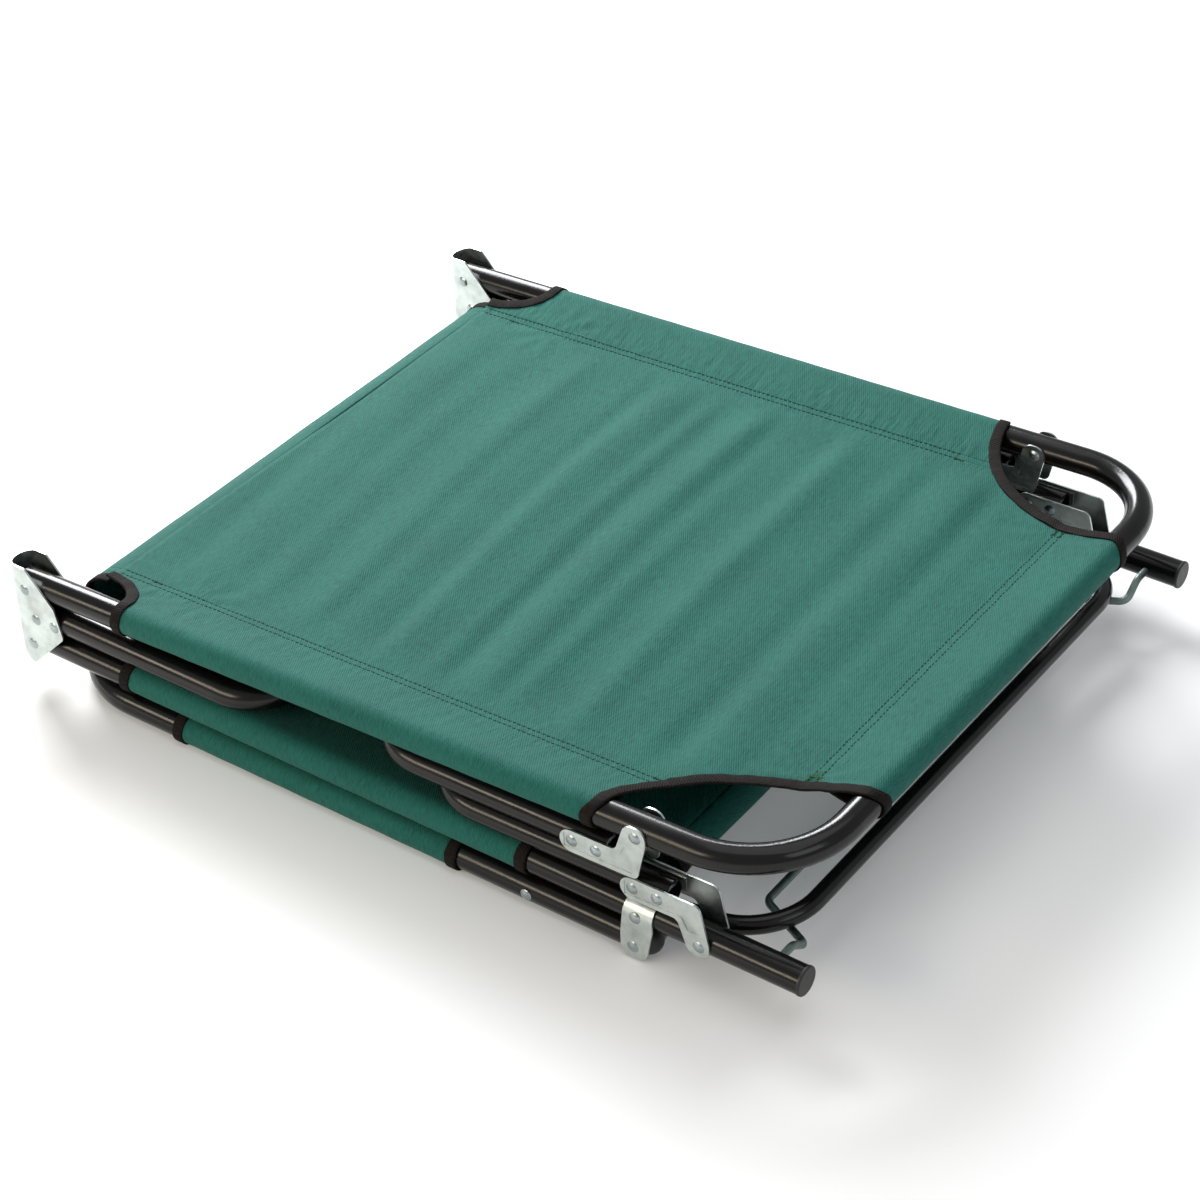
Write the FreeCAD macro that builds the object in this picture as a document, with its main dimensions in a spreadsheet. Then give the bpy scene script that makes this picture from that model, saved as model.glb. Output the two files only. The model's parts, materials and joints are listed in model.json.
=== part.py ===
import FreeCAD, Part
import os
import math
import Sketcher
from FreeCAD import Vector

# Three-section folding cot, folded flat.
# Frame: X runs along the cot, Y across it, Z up.  The origin is on the ground
# under the middle of the folded stack.  From the bottom up the stack is
# section C, section B, leg B and the fold leg, leg A, section A.

os.makedirs("parts", exist_ok=True)
doc = FreeCAD.newDocument("FoldingCot")
sheet = doc.addObject("Spreadsheet::Sheet", "Sizes")

# ---------------------------------------------------------------- dimensions
# Every driving size in millimetres, written once.
SIZES = [
    # the cot as a whole: half its width and the middle section's length, both from tube axes
    ("half_width", 278.0), ("section_length", 702.0),
    # tubes
    ("rail_dia", 22.0), ("rail_wall", 1.0), ("leg_wall", 1.0), ("stay_dia", 14.0), ("stay_wall", 1.0),
    ("brace_dia", 6.0), ("rail_stub", 7.0), ("fold_leg_start", -1.5), ("frame_c_stub", 5.0),
    ("stay_stub", 9.0), ("leg_start", 28.0),
    ("corner_bend", 75.0), ("fold_leg_bend", 40.0), ("leg_bend", 50.0), ("stay_bend", 50.0),
    # how far pieces stop or pivot short of another
    ("frame_a_short", 13.0), ("frame_c_short", 14.0), ("leg_a_setback", 115.0),
    ("leg_b_setback", 77.0), ("frame_c_setback", 132.0), ("fold_leg_short", 18.5),
    ("leg_room", 208.0), ("stay_pivot", 94.0), ("stay_reach", 192.5), ("section_a_lift", 21.534),
    # sheet metal
    ("plate_thick", 1.5), ("plate_gap", 0.25), ("web_centre", 6.0), ("fold_shoulder", 29.0),
    ("fold_right", 35.0), ("web_foot", 14.0), ("fold_rivet_first", 7.7), ("fold_rivet_pitch", 18.9),
    ("leg_rivet_first", 34.0), ("leg_rivet_pitch", 20.5), ("leg_plate_tail", 64.0),
    ("recess_margin", 3.4), ("recess_depth", 0.6), ("strap_lead", 2.0), ("strap_width", 23.0),
    # rivets
    ("rivet_dia", 5.0), ("rivet_fit", 0.05), ("rivet_head_dia", 9.6), ("rivet_head_high", 1.7),
    ("head_gap", 0.05), ("spacer_dia", 10.0),
    # end caps
    ("cap_flange", 2.5), ("cap_proud", 0.4), ("cap_plug", 12.0), ("cap_fit", 0.1),
    # wire brace
    ("brace_short", 25.0), ("brace_jog", 46.0), ("brace_bend", 9.0), ("brace_hole_fit", 0.1),
    # fabric
    ("cloth_thick", 1.2), ("sleeve_fit", 0.2), ("sleeve_wall", 0.6), ("cloth_gap", 0.5),
    ("fold_cloth_x", 47.0), ("sleeve_start", 91.0), ("c_sleeve_near", 158.0),
    ("a_corner_long", 146.0), ("a_corner_wide", 96.0), ("c_corner_long", 128.0),
    ("b_sleeve_short", 94.0), ("turn_cloth_short", 21.0),
]
# Sizes that follow from the driving ones: stack heights from the tube's diameter,
# places along the cot from the section length, places across it from the width.
DERIVED = {
    "leg_dia": "({rail_dia} - 2)",
    "frame_c_drop": "({rail_dia} + 5.5)",
    "fold_rise": "(3*{rail_dia} - 14.5)",
    "leg_offset": "({rail_dia} + 5)",
    "frame_a_reach": "({section_length} - {frame_a_short})",
    "mid_rail_end": "{section_length}",
    "frame_c_pivot": "({section_length} - {frame_c_setback})",
    "frame_c_reach": "({section_length} - {frame_c_setback} - {frame_c_short})",
    "leg_a_pivot": "({section_length} - {frame_a_short} - {leg_a_setback})",
    "leg_b_pivot": "({section_length} - {leg_b_setback})",
    "leg_reach": "(({section_length} - {leg_room})/2)",
    "fold_leg_reach": "(({section_length} - {leg_room})/2 - {fold_leg_short})",
    "section_a_pitch": "asin({section_a_lift}/({section_length} - {frame_a_short}"
                       " - {leg_a_setback}))",
    "leg_tuck": "asin(4.828/(({section_length} - {leg_room})/2))",
    "stay_pitch": "asin(({rail_dia} + 6)/{stay_reach})",
    "stay_half_width": "({half_width} - {rail_dia}/2 - {stay_dia}/2 - 5)",
    "fold_top": "({rail_dia}/2 + 9.5)",
    "fold_foot": "({rail_dia}/2 + 9.5)",
    "leg_plate_width": "({rail_dia} - 3)",
    "pivot_lug": "({rail_dia}/2 - 2.5)",
    "strap_rivet": "({section_length} - {frame_c_setback} + {strap_lead})",
    "strap_lug": "({rail_dia}/2 - 0.5)",
    "brace_end": "({section_length} - {brace_short})",
    "brace_mid": "({section_length} - {brace_short} - {brace_jog})",
    "brace_dip": "({rail_dia}/2 + 0.8)",
    "brace_inner": "({half_width} - 2*{rail_dia} - 20)",
    "brace_outer": "({half_width} - {rail_dia} - 19)",
    "fold_cloth_half": "({half_width} - {rail_dia} - 16)",
    "turn_cloth_half": "({half_width} - 2*{rail_dia} - 16)",
    "corner_half": "({half_width} - {a_corner_wide})",
    "a_sleeve_end": "({section_length} - {frame_a_short} - {a_corner_long})",
    "b_sleeve_end": "({section_length} - {frame_c_setback} - {b_sleeve_short})",
    "c_sleeve_far": "({section_length} - {frame_c_setback} - {frame_c_short} - {c_corner_long})",
    "turn_cloth_x": "({section_length} - {frame_c_setback} - {turn_cloth_short})",
}
for row, (alias, value) in enumerate(SIZES, start=1):
    sheet.set("A%d" % row, alias)
    sheet.set("B%d" % row, repr(value))
    sheet.setAlias("B%d" % row, alias)
doc.recompute()


scratch = doc.addObject("App::FeaturePython", "Scratch")


def S(text):
    """Expression over the sheet for text that names sizes in braces."""
    for name, meaning in DERIVED.items():
        text = text.replace("{" + name + "}", meaning)
    for alias, _ in SIZES:
        text = text.replace("{" + alias + "}", "Sizes." + alias)
    return text


def value_of(text):
    """Number that such a text gives now, by the document's own expression engine."""
    found = scratch.evalExpression(S(text))
    return float(getattr(found, "Value", found))

# Heights and places that several pieces share, as expressions over the sheet.
RAIL_R = "{rail_dia}/2"
LEG_R = "{leg_dia}/2"
SLEEVE_IN = "({rail_dia}/2 + {sleeve_fit})"
SLEEVE_OUT = "({rail_dia}/2 + {sleeve_fit} + {sleeve_wall})"
AXIS_C = SLEEVE_OUT                                   # height of section C's tube axis
AXIS_B = "(%s + {frame_c_drop})" % AXIS_C             # height of section B's rail axis
WEB_REACH = "({web_centre} + {rail_dia}/2 + {plate_gap} + {plate_thick})"
FOLD_X = "(-({mid_rail_end} + {cap_flange} - %s)/2)" % WEB_REACH   # x of both fold pivots
PLATE_Y = "({rail_dia}/2 + {plate_gap})"              # plate's inner face from the tube's axis
GRIP = "(2*(%s + {plate_thick}))" % PLATE_Y           # rivet grip over both plates
HOLE_R = "({rivet_dia}/2 + {rivet_fit})"

nodes = []


def keep(obj, label):
    """Label an object and list it for export."""
    obj.Label = label
    nodes.append(obj)
    return obj


def place(obj, text):
    obj.setExpression(".Placement", S(text))


def at(x, y, z, axis="0;0;1", turn="0"):
    """Placement expression at a point, turned about an axis."""
    return "placement(vector(%s; %s; %s); rotation(vector(%s); %s))" % (x, y, z, axis, turn)


# Local frames of the moving sections, each with its origin on its own pivot line.
FRAME_B = at(FOLD_X, "0", AXIS_B)
FRAME_FOLD = FRAME_B
FRAME_A = at(FOLD_X, "0", AXIS_B + " + {fold_rise}", "0;-1;0", "{section_a_pitch}")
FRAME_C = at(FOLD_X + " + {frame_c_pivot}", "0", AXIS_C, "0;0;1", "180")
FRAME_LEG_A = FRAME_A + " * " + at("{leg_a_pivot}", "0", "0", "0;1;0", "{leg_tuck}")
FRAME_LEG_B = (FRAME_B + " * " + at("{leg_b_pivot}", "0", "0", "0;-1;0", "{leg_tuck}")
               + " * " + at("0", "0", "0", "1;0;0", "180"))
FRAME_STAY = at(FOLD_X + " + {frame_c_pivot} - {stay_pivot}", "0", AXIS_C, "0;-1;0", "{stay_pitch}")


# ------------------------------------------------------------------- helpers
def origin_plane(body, role):
    return next(item for item in body.Origin.OriginFeatures if item.Role == role)


def new_sketch(body, role, name):
    sketch = body.newObject("Sketcher::SketchObject", name)
    sketch.AttachmentSupport = (origin_plane(body, role), [""])
    sketch.MapMode = "FlatFace"
    doc.recompute()
    return sketch


def pin(sketch, kind, args, text):
    """Add a dimension bound to an expression over the sheet."""
    index = sketch.addConstraint(Sketcher.Constraint(kind, *args, value_of(text)))
    sketch.setExpression("Constraints[%d]" % index, S(text))


def pin_point(sketch, geometry, end, x_text, y_text):
    pin(sketch, "DistanceX", (-1, 1, geometry, end), x_text)
    pin(sketch, "DistanceY", (-1, 1, geometry, end), y_text)


def add_polygon(sketch, points):
    """Closed outline through points given as pairs of expressions."""
    numbers = [Vector(value_of(x), value_of(y), 0) for x, y in points]
    first = sketch.GeometryCount
    count = len(points)
    for i in range(count):
        sketch.addGeometry(Part.LineSegment(numbers[i], numbers[(i + 1) % count]), False)
    for i in range(count):
        join = Sketcher.Constraint("Coincident", first + i, 2, first + (i + 1) % count, 1)
        sketch.addConstraint(join)
        pin_point(sketch, first + i, 1, *points[i])
    return first


def add_circle(sketch, x_text, y_text, r_text):
    centre = Vector(value_of(x_text), value_of(y_text), 0)
    circle = Part.Circle(centre, Vector(0, 0, 1), value_of(r_text))
    index = sketch.addGeometry(circle, False)
    pin_point(sketch, index, 3, x_text, y_text)
    pin(sketch, "Radius", (index,), r_text)
    return index


def pad(body, sketch, length, midplane=False, name="Pad", kind="PartDesign::Pad"):
    feature = body.newObject(kind, name)
    feature.Profile = sketch
    feature.setExpression("Length", S(length))
    feature.Midplane = midplane
    sketch.Visibility = False
    doc.recompute()
    return feature


def round_edges(body, base, corners, axis):
    """Fillet the edges along axis (0 x, 1 y, 2 z) that pass through given corners."""
    for (x_text, y_text), radius in corners:
        u, v = value_of(x_text), value_of(y_text)
        names = []
        for i, edge in enumerate(body.Tip.Shape.Edges, start=1):
            ends = [vertex.Point for vertex in edge.Vertexes]
            if len(ends) != 2:
                continue
            step = ends[1] - ends[0]
            if abs(step[axis]) < 0.5 * step.Length or step.Length < 0.1:
                continue
            flat = [ends[0][k] for k in range(3) if k != axis]
            if abs(flat[0] - u) < 0.01 and abs(flat[1] - v) < 0.01:
                names.append("Edge%d" % i)
        fillet = body.newObject("PartDesign::Fillet", "Round")
        fillet.Base = (base, names)
        fillet.setExpression("Radius", S(radius))
        doc.recompute()
        base = fillet
    return base


def drill(body, spots, role="XZ_Plane", radius=HOLE_R):
    """Round holes right through a body, along Y for an XZ sketch."""
    sketch = new_sketch(body, role, "Holes")
    for x_text, y_text in spots:
        add_circle(sketch, x_text, y_text, radius)
    hole = body.newObject("PartDesign::Pocket", "Drill")
    hole.Profile = sketch
    hole.Type = "ThroughAll"
    hole.Midplane = True
    sketch.Visibility = False
    doc.recompute()
    return hole


def u_tube(name, half, reach, stub, bend, dia, wall, height="0"):
    """Hollow tube bent to a U: two arms along +X joined by a crossbar at reach."""
    body = doc.addObject("PartDesign::Body", name)
    path = new_sketch(body, "XY_Plane", "Path")
    w, far, start, r = value_of(half), value_of(reach), value_of(stub), value_of(bend)
    up = Vector(0, 0, 1)
    path.addGeometry(Part.LineSegment(Vector(start, -w, 0), Vector(far - r, -w, 0)), False)
    near_arc = Part.Circle(Vector(far - r, r - w, 0), up, r)
    path.addGeometry(Part.ArcOfCircle(near_arc, -math.pi / 2, 0), False)
    path.addGeometry(Part.LineSegment(Vector(far, r - w, 0), Vector(far, w - r, 0)), False)
    far_arc = Part.Circle(Vector(far - r, w - r, 0), up, r)
    path.addGeometry(Part.ArcOfCircle(far_arc, 0, math.pi / 2), False)
    path.addGeometry(Part.LineSegment(Vector(far - r, w, 0), Vector(start, w, 0)), False)
    for i in range(4):
        path.addConstraint(Sketcher.Constraint("Tangent", i, 2, i + 1, 1))
    path.addConstraint(Sketcher.Constraint("Horizontal", 0))
    path.addConstraint(Sketcher.Constraint("Vertical", 2))
    path.addConstraint(Sketcher.Constraint("Horizontal", 4))
    path.addConstraint(Sketcher.Constraint("Equal", 1, 3))
    pin_point(path, 0, 1, stub, "-(%s)" % half)
    pin_point(path, 4, 2, stub, half)
    pin(path, "DistanceX", (-1, 1, 2, 1), reach)
    pin(path, "Radius", (1,), bend)
    ring = new_sketch(body, "YZ_Plane", "Ring")
    ring.setExpression(".AttachmentOffset.Base.z", S(stub))
    doc.recompute()
    add_circle(ring, "-(%s)" % half, "0", "(%s)/2" % dia)
    add_circle(ring, "-(%s)" % half, "0", "(%s)/2 - %s" % (dia, wall))
    doc.recompute()
    pipe = body.newObject("PartDesign::AdditivePipe", "Bend")
    pipe.Profile = ring
    pipe.Spine = (path, ["Edge%d" % (i + 1) for i in range(5)])
    path.Visibility = False
    ring.Visibility = False
    doc.recompute()
    return body


def straight_tube(name, start, end, dia, wall):
    """Hollow tube along +X from start to end."""
    body = doc.addObject("PartDesign::Body", name)
    ring = new_sketch(body, "YZ_Plane", "Ring")
    ring.setExpression(".AttachmentOffset.Base.z", S(start))
    add_circle(ring, "0", "0", "(%s)/2" % dia)
    add_circle(ring, "0", "0", "(%s)/2 - %s" % (dia, wall))
    pad(body, ring, "%s - (%s)" % (end, start))
    return body


def mirrored(source, name, y_text="0"):
    """The same piece on the other side of the plane y = y_text."""
    copy = doc.addObject("Part::Mirroring", name)
    copy.Source = source
    copy.Normal = Vector(0, 1, 0)
    copy.Base = Vector(0, value_of(y_text), 0)
    if y_text != "0":
        copy.setExpression(".Base.y", S(y_text))
    doc.recompute()
    return copy


def group(objects, label):
    compound = doc.addObject("Part::Compound", label.title().replace("_", ""))
    compound.Links = objects
    doc.recompute()
    return keep(compound, label)


def boolean(kind, base, tool, name):
    result = doc.addObject("Part::" + kind, name)
    result.Base = base
    result.Tool = tool
    doc.recompute()
    return result


def fuse(objects, name):
    result = doc.addObject("Part::MultiFuse", name)
    result.Shapes = objects
    result.Refine = True
    doc.recompute()
    return result


def rivet(name, frame, x_text, z_text, grip=GRIP, y_text="-{half_width}"):
    """Domed rivet along Y through a tube, its middle at (x, y, z) of a section's frame."""
    body = doc.addObject("PartDesign::Body", name)
    half_grip = "(%s)/2" % grip
    head, top, shank = "{rivet_head_dia}/2", "((%s)/2 + {rivet_head_high})" % grip, "{rivet_dia}/2"
    sketch = new_sketch(body, "XY_Plane", "Half")
    g, h = value_of(half_grip), value_of(top)
    r, s = value_of(head), value_of(shank)
    rise = h - g
    ball = (r * r + rise * rise) / (2 * rise)
    low_centre, high_centre = Vector(0, -h + ball, 0), Vector(0, h - ball, 0)
    spread = math.asin(r / ball)
    up = Vector(0, 0, 1)
    sketch.addGeometry(Part.LineSegment(Vector(0, h, 0), Vector(0, -h, 0)), False)
    sketch.addGeometry(Part.ArcOfCircle(Part.Circle(low_centre, up, ball),
                                        -math.pi / 2, -math.pi / 2 + spread), False)
    corners = [Vector(r, -g, 0), Vector(s, -g, 0), Vector(s, g, 0), Vector(r, g, 0)]
    for i in range(3):
        sketch.addGeometry(Part.LineSegment(corners[i], corners[i + 1]), False)
    sketch.addGeometry(Part.ArcOfCircle(Part.Circle(high_centre, up, ball),
                                        math.pi / 2 - spread, math.pi / 2), False)
    for a, b in (((0, 2), (1, 1)), ((1, 2), (2, 1)), ((2, 2), (3, 1)), ((3, 2), (4, 1)),
                 ((4, 2), (5, 1)), ((5, 2), (0, 1))):
        sketch.addConstraint(Sketcher.Constraint("Coincident", *a, *b))
    pin_point(sketch, 0, 1, "0", top)
    pin_point(sketch, 0, 2, "0", "-" + top)
    pin_point(sketch, 2, 1, head, "-(%s)" % half_grip)
    pin_point(sketch, 2, 2, shank, "-(%s)" % half_grip)
    pin_point(sketch, 3, 2, shank, half_grip)
    pin_point(sketch, 4, 2, head, half_grip)
    sketch.addConstraint(Sketcher.Constraint("PointOnObject", 1, 3, -2))
    sketch.addConstraint(Sketcher.Constraint("PointOnObject", 5, 3, -2))
    turn = body.newObject("PartDesign::Revolution", "Turn")
    turn.Profile = sketch
    turn.ReferenceAxis = (sketch, ["V_Axis"])
    turn.Angle = 360
    sketch.Visibility = False
    doc.recompute()
    place(body, frame + " * " + at(x_text, y_text, z_text))
    doc.recompute()
    return body


def rivet_row(label, frame, spots, grip=GRIP, y_text="-{half_width}"):
    """Identical rivets of one joint, near and far side, as one node."""
    items = []
    for x_text, z_text in spots:
        near = rivet(label.title().replace("_", ""), frame, x_text, z_text, grip, y_text)
        items += [near, mirrored(near, near.Name + "Far")]
    return group(items, label)


def cloth_turn(label, frame, x_text, z_text, radius, half_length, side):
    """Cloth bent round a half circle about Y; side 90 bulges to -X, -90 to +X."""
    name = label.title().replace("_", "")
    parts = []
    for layer, shift in (("Out", "+ {cloth_thick}/2"), ("In", "- {cloth_thick}/2")):
        item = doc.addObject("Part::Cylinder", name + layer)
        item.setExpression("Radius", S("%s %s" % (radius, shift)))
        item.setExpression("Height", S("2*%s" % half_length))
        item.Angle = 180
        parts.append(item)
    result = boolean("Cut", parts[0], parts[1], name)
    place(result, frame + " * " + at(x_text, "-" + half_length, z_text, "1;0;0", "-90")
          + " * " + at("0", "0", "0", "0;0;1", side))
    doc.recompute()
    return keep(result, label)


def rod(name, radius, frame, start, end, y_text=None):
    """Solid cylinder of a section's frame: along X, or along Y when y_text is None."""
    item = doc.addObject("Part::Cylinder", name)
    item.setExpression("Radius", S(radius))
    item.setExpression("Height", S("%s - (%s)" % (end, start)))
    if y_text is None:
        place(item, frame + " * " + at("0", start, "0", "1;0;0", "-90"))
    else:
        place(item, frame + " * " + at(start, y_text, "0", "0;1;0", "90"))
    return item


def corner_cutter(name, frame, x_text, y_text, long_r, cross_r):
    """Upright elliptical prism centred on a corner of a panel."""
    rim = doc.addObject("Part::Ellipse", name + "Rim")
    across = value_of(cross_r) > value_of(long_r)
    rim.setExpression("MajorRadius", S(cross_r if across else long_r))
    rim.setExpression("MinorRadius", S(long_r if across else cross_r))
    prism = doc.addObject("Part::Extrusion", name)
    prism.Base = rim
    prism.DirMode = "Custom"
    prism.Dir = Vector(0, 0, 1)
    prism.LengthFwd = 8
    prism.LengthRev = 8
    prism.Solid = True
    place(prism, frame + " * " + at(x_text, y_text, "0", turn="90" if across else "0"))
    doc.recompute()
    return prism


def cloth_panel(label, frame, left, right, sleeve_from, sleeve_to, cutters, bar=None):
    """Sleeping panel with a sleeve round each rail and, given bar, round the crossbar."""
    name = label.title().replace("_", "")
    web = doc.addObject("Part::Box", name + "Web")
    inner = "({half_width} - %s - {sleeve_wall}/2)" % SLEEVE_IN
    web.setExpression("Length", S("%s - (%s)" % (right, left)))
    web.setExpression("Width", S("2*" + inner))
    web.setExpression("Height", S("{cloth_thick}"))
    place(web, frame + " * " + at(left, "-" + inner, "-{cloth_thick}/2"))
    doc.recompute()
    trimmed = web
    for i, (x_text, long_r, cross_r) in enumerate(cutters):
        for side, y_text in (("N", "-{half_width}"), ("F", "{half_width}")):
            tool = corner_cutter("%sCut%d%s" % (name, i, side), frame, x_text, y_text, long_r, cross_r)
            trimmed = boolean("Cut", trimmed, tool, "%sTrim%d%s" % (name, i, side))
    outer = [trimmed]
    bores = []
    for side, y_text in (("N", "-{half_width}"), ("F", "{half_width}")):
        outer.append(rod(name + "Out" + side, SLEEVE_OUT, frame, sleeve_from, sleeve_to, y_text))
        bores.append(rod(name + "In" + side, SLEEVE_IN, frame, "%s - 1" % sleeve_from,
                         "%s + 1" % sleeve_to, y_text))
    if bar is not None:
        across = frame + " * " + at(bar, "0", "0")
        outer.append(rod(name + "OutBar", SLEEVE_OUT, across, "-{corner_half}", "{corner_half}"))
        bores.append(rod(name + "InBar", SLEEVE_IN, across, "-{corner_half} - 1",
                         "{corner_half} + 1"))
    doc.recompute()
    solid = boolean("Cut", fuse(outer, name + "Full"), fuse(bores, name + "Bores"), name)
    return keep(solid, label)


# ------------------------------------------------------------------ section B
# Two straight rails, their flat end caps, the hinge straps and the wire brace.
rail_near = straight_tube("MidRailNear", "-{rail_stub}", "{mid_rail_end}", "{rail_dia}", "{rail_wall}")
drill(rail_near, [("0", "0"), ("{strap_rivet}", "0"), ("{leg_b_pivot}", "0")])
brace_socket = rail_near.newObject("Sketcher::SketchObject", "BraceSocket")
brace_socket.AttachmentSupport = (origin_plane(rail_near, "XZ_Plane"), [""])
brace_socket.MapMode = "FlatFace"
doc.recompute()
add_circle(brace_socket, "{brace_end}", "0", "{brace_dia}/2 + {brace_hole_fit}")
socket_cut = rail_near.newObject("PartDesign::Pocket", "BraceHole")
socket_cut.Profile = brace_socket
socket_cut.setExpression("Length", S(RAIL_R + " + 1"))
socket_cut.Midplane = False
brace_socket.Visibility = False
doc.recompute()
place(rail_near, FRAME_B + " * " + at("0", "-{half_width}", "0"))
keep(rail_near, "mid_rail_near")
keep(mirrored(rail_near, "MidRailFar"), "mid_rail_far")


def end_cap(name, round_end):
    """Plastic tube cap on the +X end of a tube: a flange or a ball end, and a plug."""
    body = doc.addObject("PartDesign::Body", name)
    sketch = new_sketch(body, "XY_Plane", "Half")
    plug = "{rail_dia}/2 - {rail_wall} - {cap_fit}"
    lip = "{rail_dia}/2" if round_end else "{rail_dia}/2 + {cap_proud}"
    add_points = [("0", "0"), ("-{cap_plug}", "0"), ("-{cap_plug}", plug), ("0", plug), ("0", lip)]
    numbers = [Vector(value_of(x), value_of(y), 0) for x, y in add_points]
    if round_end:
        r = value_of(lip)
        sketch.addGeometry(Part.LineSegment(Vector(r, 0, 0), numbers[1]), False)
        for i in range(1, 4):
            sketch.addGeometry(Part.LineSegment(numbers[i], numbers[i + 1]), False)
        ball = Part.Circle(Vector(0, 0, 0), Vector(0, 0, 1), r)
        sketch.addGeometry(Part.ArcOfCircle(ball, 0, math.pi / 2), False)
        for a, b in (((0, 2), (1, 1)), ((1, 2), (2, 1)), ((2, 2), (3, 1)), ((3, 2), (4, 2)),
                     ((4, 1), (0, 1))):
            sketch.addConstraint(Sketcher.Constraint("Coincident", *a, *b))
        pin_point(sketch, 0, 1, lip, "0")
        pin_point(sketch, 1, 1, *add_points[1])
        pin_point(sketch, 2, 1, *add_points[2])
        pin_point(sketch, 3, 1, *add_points[3])
        pin_point(sketch, 3, 2, *add_points[4])
        sketch.addConstraint(Sketcher.Constraint("PointOnObject", 4, 3, -1))
    else:
        add_polygon(sketch, add_points[1:] + [("{cap_flange}", lip), ("{cap_flange}", "0")])
    turn = body.newObject("PartDesign::Revolution", "Turn")
    turn.Profile = sketch
    turn.ReferenceAxis = (sketch, ["H_Axis"])
    turn.Angle = 360
    sketch.Visibility = False
    doc.recompute()
    if not round_end:
        rim = [i for i, edge in enumerate(turn.Shape.Edges, start=1)
               if abs(edge.BoundBox.XMin - value_of("{cap_flange}")) < 0.01
               and abs(edge.BoundBox.XMax - value_of("{cap_flange}")) < 0.01]
        soft = body.newObject("PartDesign::Fillet", "SoftRim")
        soft.Base = (turn, ["Edge%d" % i for i in rim])
        soft.setExpression("Radius", S("{cap_flange}/2"))
        doc.recompute()
    return body


rail_cap = end_cap("RailCap", round_end=False)
place(rail_cap, FRAME_B + " * " + at("{mid_rail_end}", "-{half_width}", "0"))
group([rail_cap, mirrored(rail_cap, "RailCapFar")], "mid_rail_end_caps")


def bent_strip(name, role, half_gap, along, far, round_at):
    """Sheet bent to a U: two flanges joined by a half-round web.

    role is the plane of the U's section; along is the strip's length across that
    plane, centred; far is how far the flanges run from round_at's circle centre.
    """
    body = doc.addObject("PartDesign::Body", name)
    sketch = new_sketch(body, role, "Section")
    out = "(%s + {plate_thick})" % half_gap
    ri, ro, x0, x1 = value_of(half_gap), value_of(out), value_of(round_at), value_of(far)
    up = Vector(0, 0, 1)
    centre = Vector(x0, 0, 0)
    lines = [(Vector(x0, ro, 0), Vector(x1, ro, 0)), (Vector(x1, ro, 0), Vector(x1, ri, 0)),
             (Vector(x1, ri, 0), Vector(x0, ri, 0)), (Vector(x0, -ri, 0), Vector(x1, -ri, 0)),
             (Vector(x1, -ri, 0), Vector(x1, -ro, 0)), (Vector(x1, -ro, 0), Vector(x0, -ro, 0))]
    for a, b in lines:
        sketch.addGeometry(Part.LineSegment(a, b), False)
    outer_arc = Part.ArcOfCircle(Part.Circle(centre, up, ro), math.pi / 2, 3 * math.pi / 2)
    inner_arc = Part.ArcOfCircle(Part.Circle(centre, up, ri), math.pi / 2, 3 * math.pi / 2)
    sketch.addGeometry(outer_arc, False)
    sketch.addGeometry(inner_arc, False)
    for a, b in (((0, 2), (1, 1)), ((1, 2), (2, 1)), ((3, 2), (4, 1)), ((4, 2), (5, 1)),
                 ((5, 2), (6, 2)), ((6, 1), (0, 1)), ((2, 2), (7, 1)), ((7, 2), (3, 1))):
        sketch.addConstraint(Sketcher.Constraint("Coincident", *a, *b))
    pin_point(sketch, 0, 1, round_at, out)
    pin_point(sketch, 1, 1, far, out)
    pin_point(sketch, 2, 1, far, half_gap)
    pin_point(sketch, 3, 1, round_at, "-" + half_gap)
    pin_point(sketch, 4, 1, far, "-" + half_gap)
    pin_point(sketch, 5, 1, far, "-" + out)
    pin_point(sketch, 5, 2, round_at, "-" + out)
    pin_point(sketch, 2, 2, round_at, half_gap)
    for arc in (6, 7):
        pin(sketch, "DistanceX", (-1, 1, arc, 3), round_at)
    pad(body, sketch, along, midplane=True)
    return body


def outline_block(name, points, corners, holes, thick="60", role="XZ_Plane"):
    """Slab along Y with a plate's outline and its rivet holes."""
    body = doc.addObject("PartDesign::Body", name)
    sketch = new_sketch(body, role, "Outline")
    add_polygon(sketch, points)
    base = pad(body, sketch, thick, midplane=True)
    round_edges(body, base, corners, axis=1)
    if holes:
        drill(body, holes)
    return body


# Hinge strap: bent over the rail's top, its foot carries section C's pivot.
# Its own frame has its origin on section C's pivot.
strap_left = "({strap_lead} - {strap_width}*0.38)"
strap_right = "({strap_lead} + {strap_width}*0.62)"
strap_top = "({frame_c_drop} + {rail_dia})"
strap_points = [
    (strap_left, strap_top), (strap_right, strap_top),
    (strap_right, "{frame_c_drop}/2 + 6"), ("{strap_lug}", "-{strap_lug}"),
    ("-{strap_lug}", "-{strap_lug}"), ("-{strap_lug}", "{frame_c_drop}/3"),
]
strap_corners = [(strap_points[3], "{strap_lug} - 1.5"), (strap_points[4], "{strap_lug} - 1.5"),
                 (strap_points[2], "6")]
strap_strip = bent_strip("StrapStrip", "YZ_Plane", PLATE_Y, "60", "2*{frame_c_drop}", "0")
place(strap_strip, FRAME_B + " * " + at("{frame_c_pivot}", "-{half_width}", "0", "1;0;0", "-90"))
strap_block = outline_block("StrapBlock", strap_points, strap_corners,
                            [("0", "0"), ("{strap_lead}", "{frame_c_drop}")])
place(strap_block, at(FOLD_X + " + {frame_c_pivot}", "-{half_width}", AXIS_C))
doc.recompute()
strap_near = keep(boolean("Common", strap_strip, strap_block, "StrapNear"), "hinge_strap_near")
keep(mirrored(strap_near, "StrapFar"), "hinge_strap_far")
rivet_row("hinge_strap_rivets", FRAME_B, [("{strap_rivet}", "0")])


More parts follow.
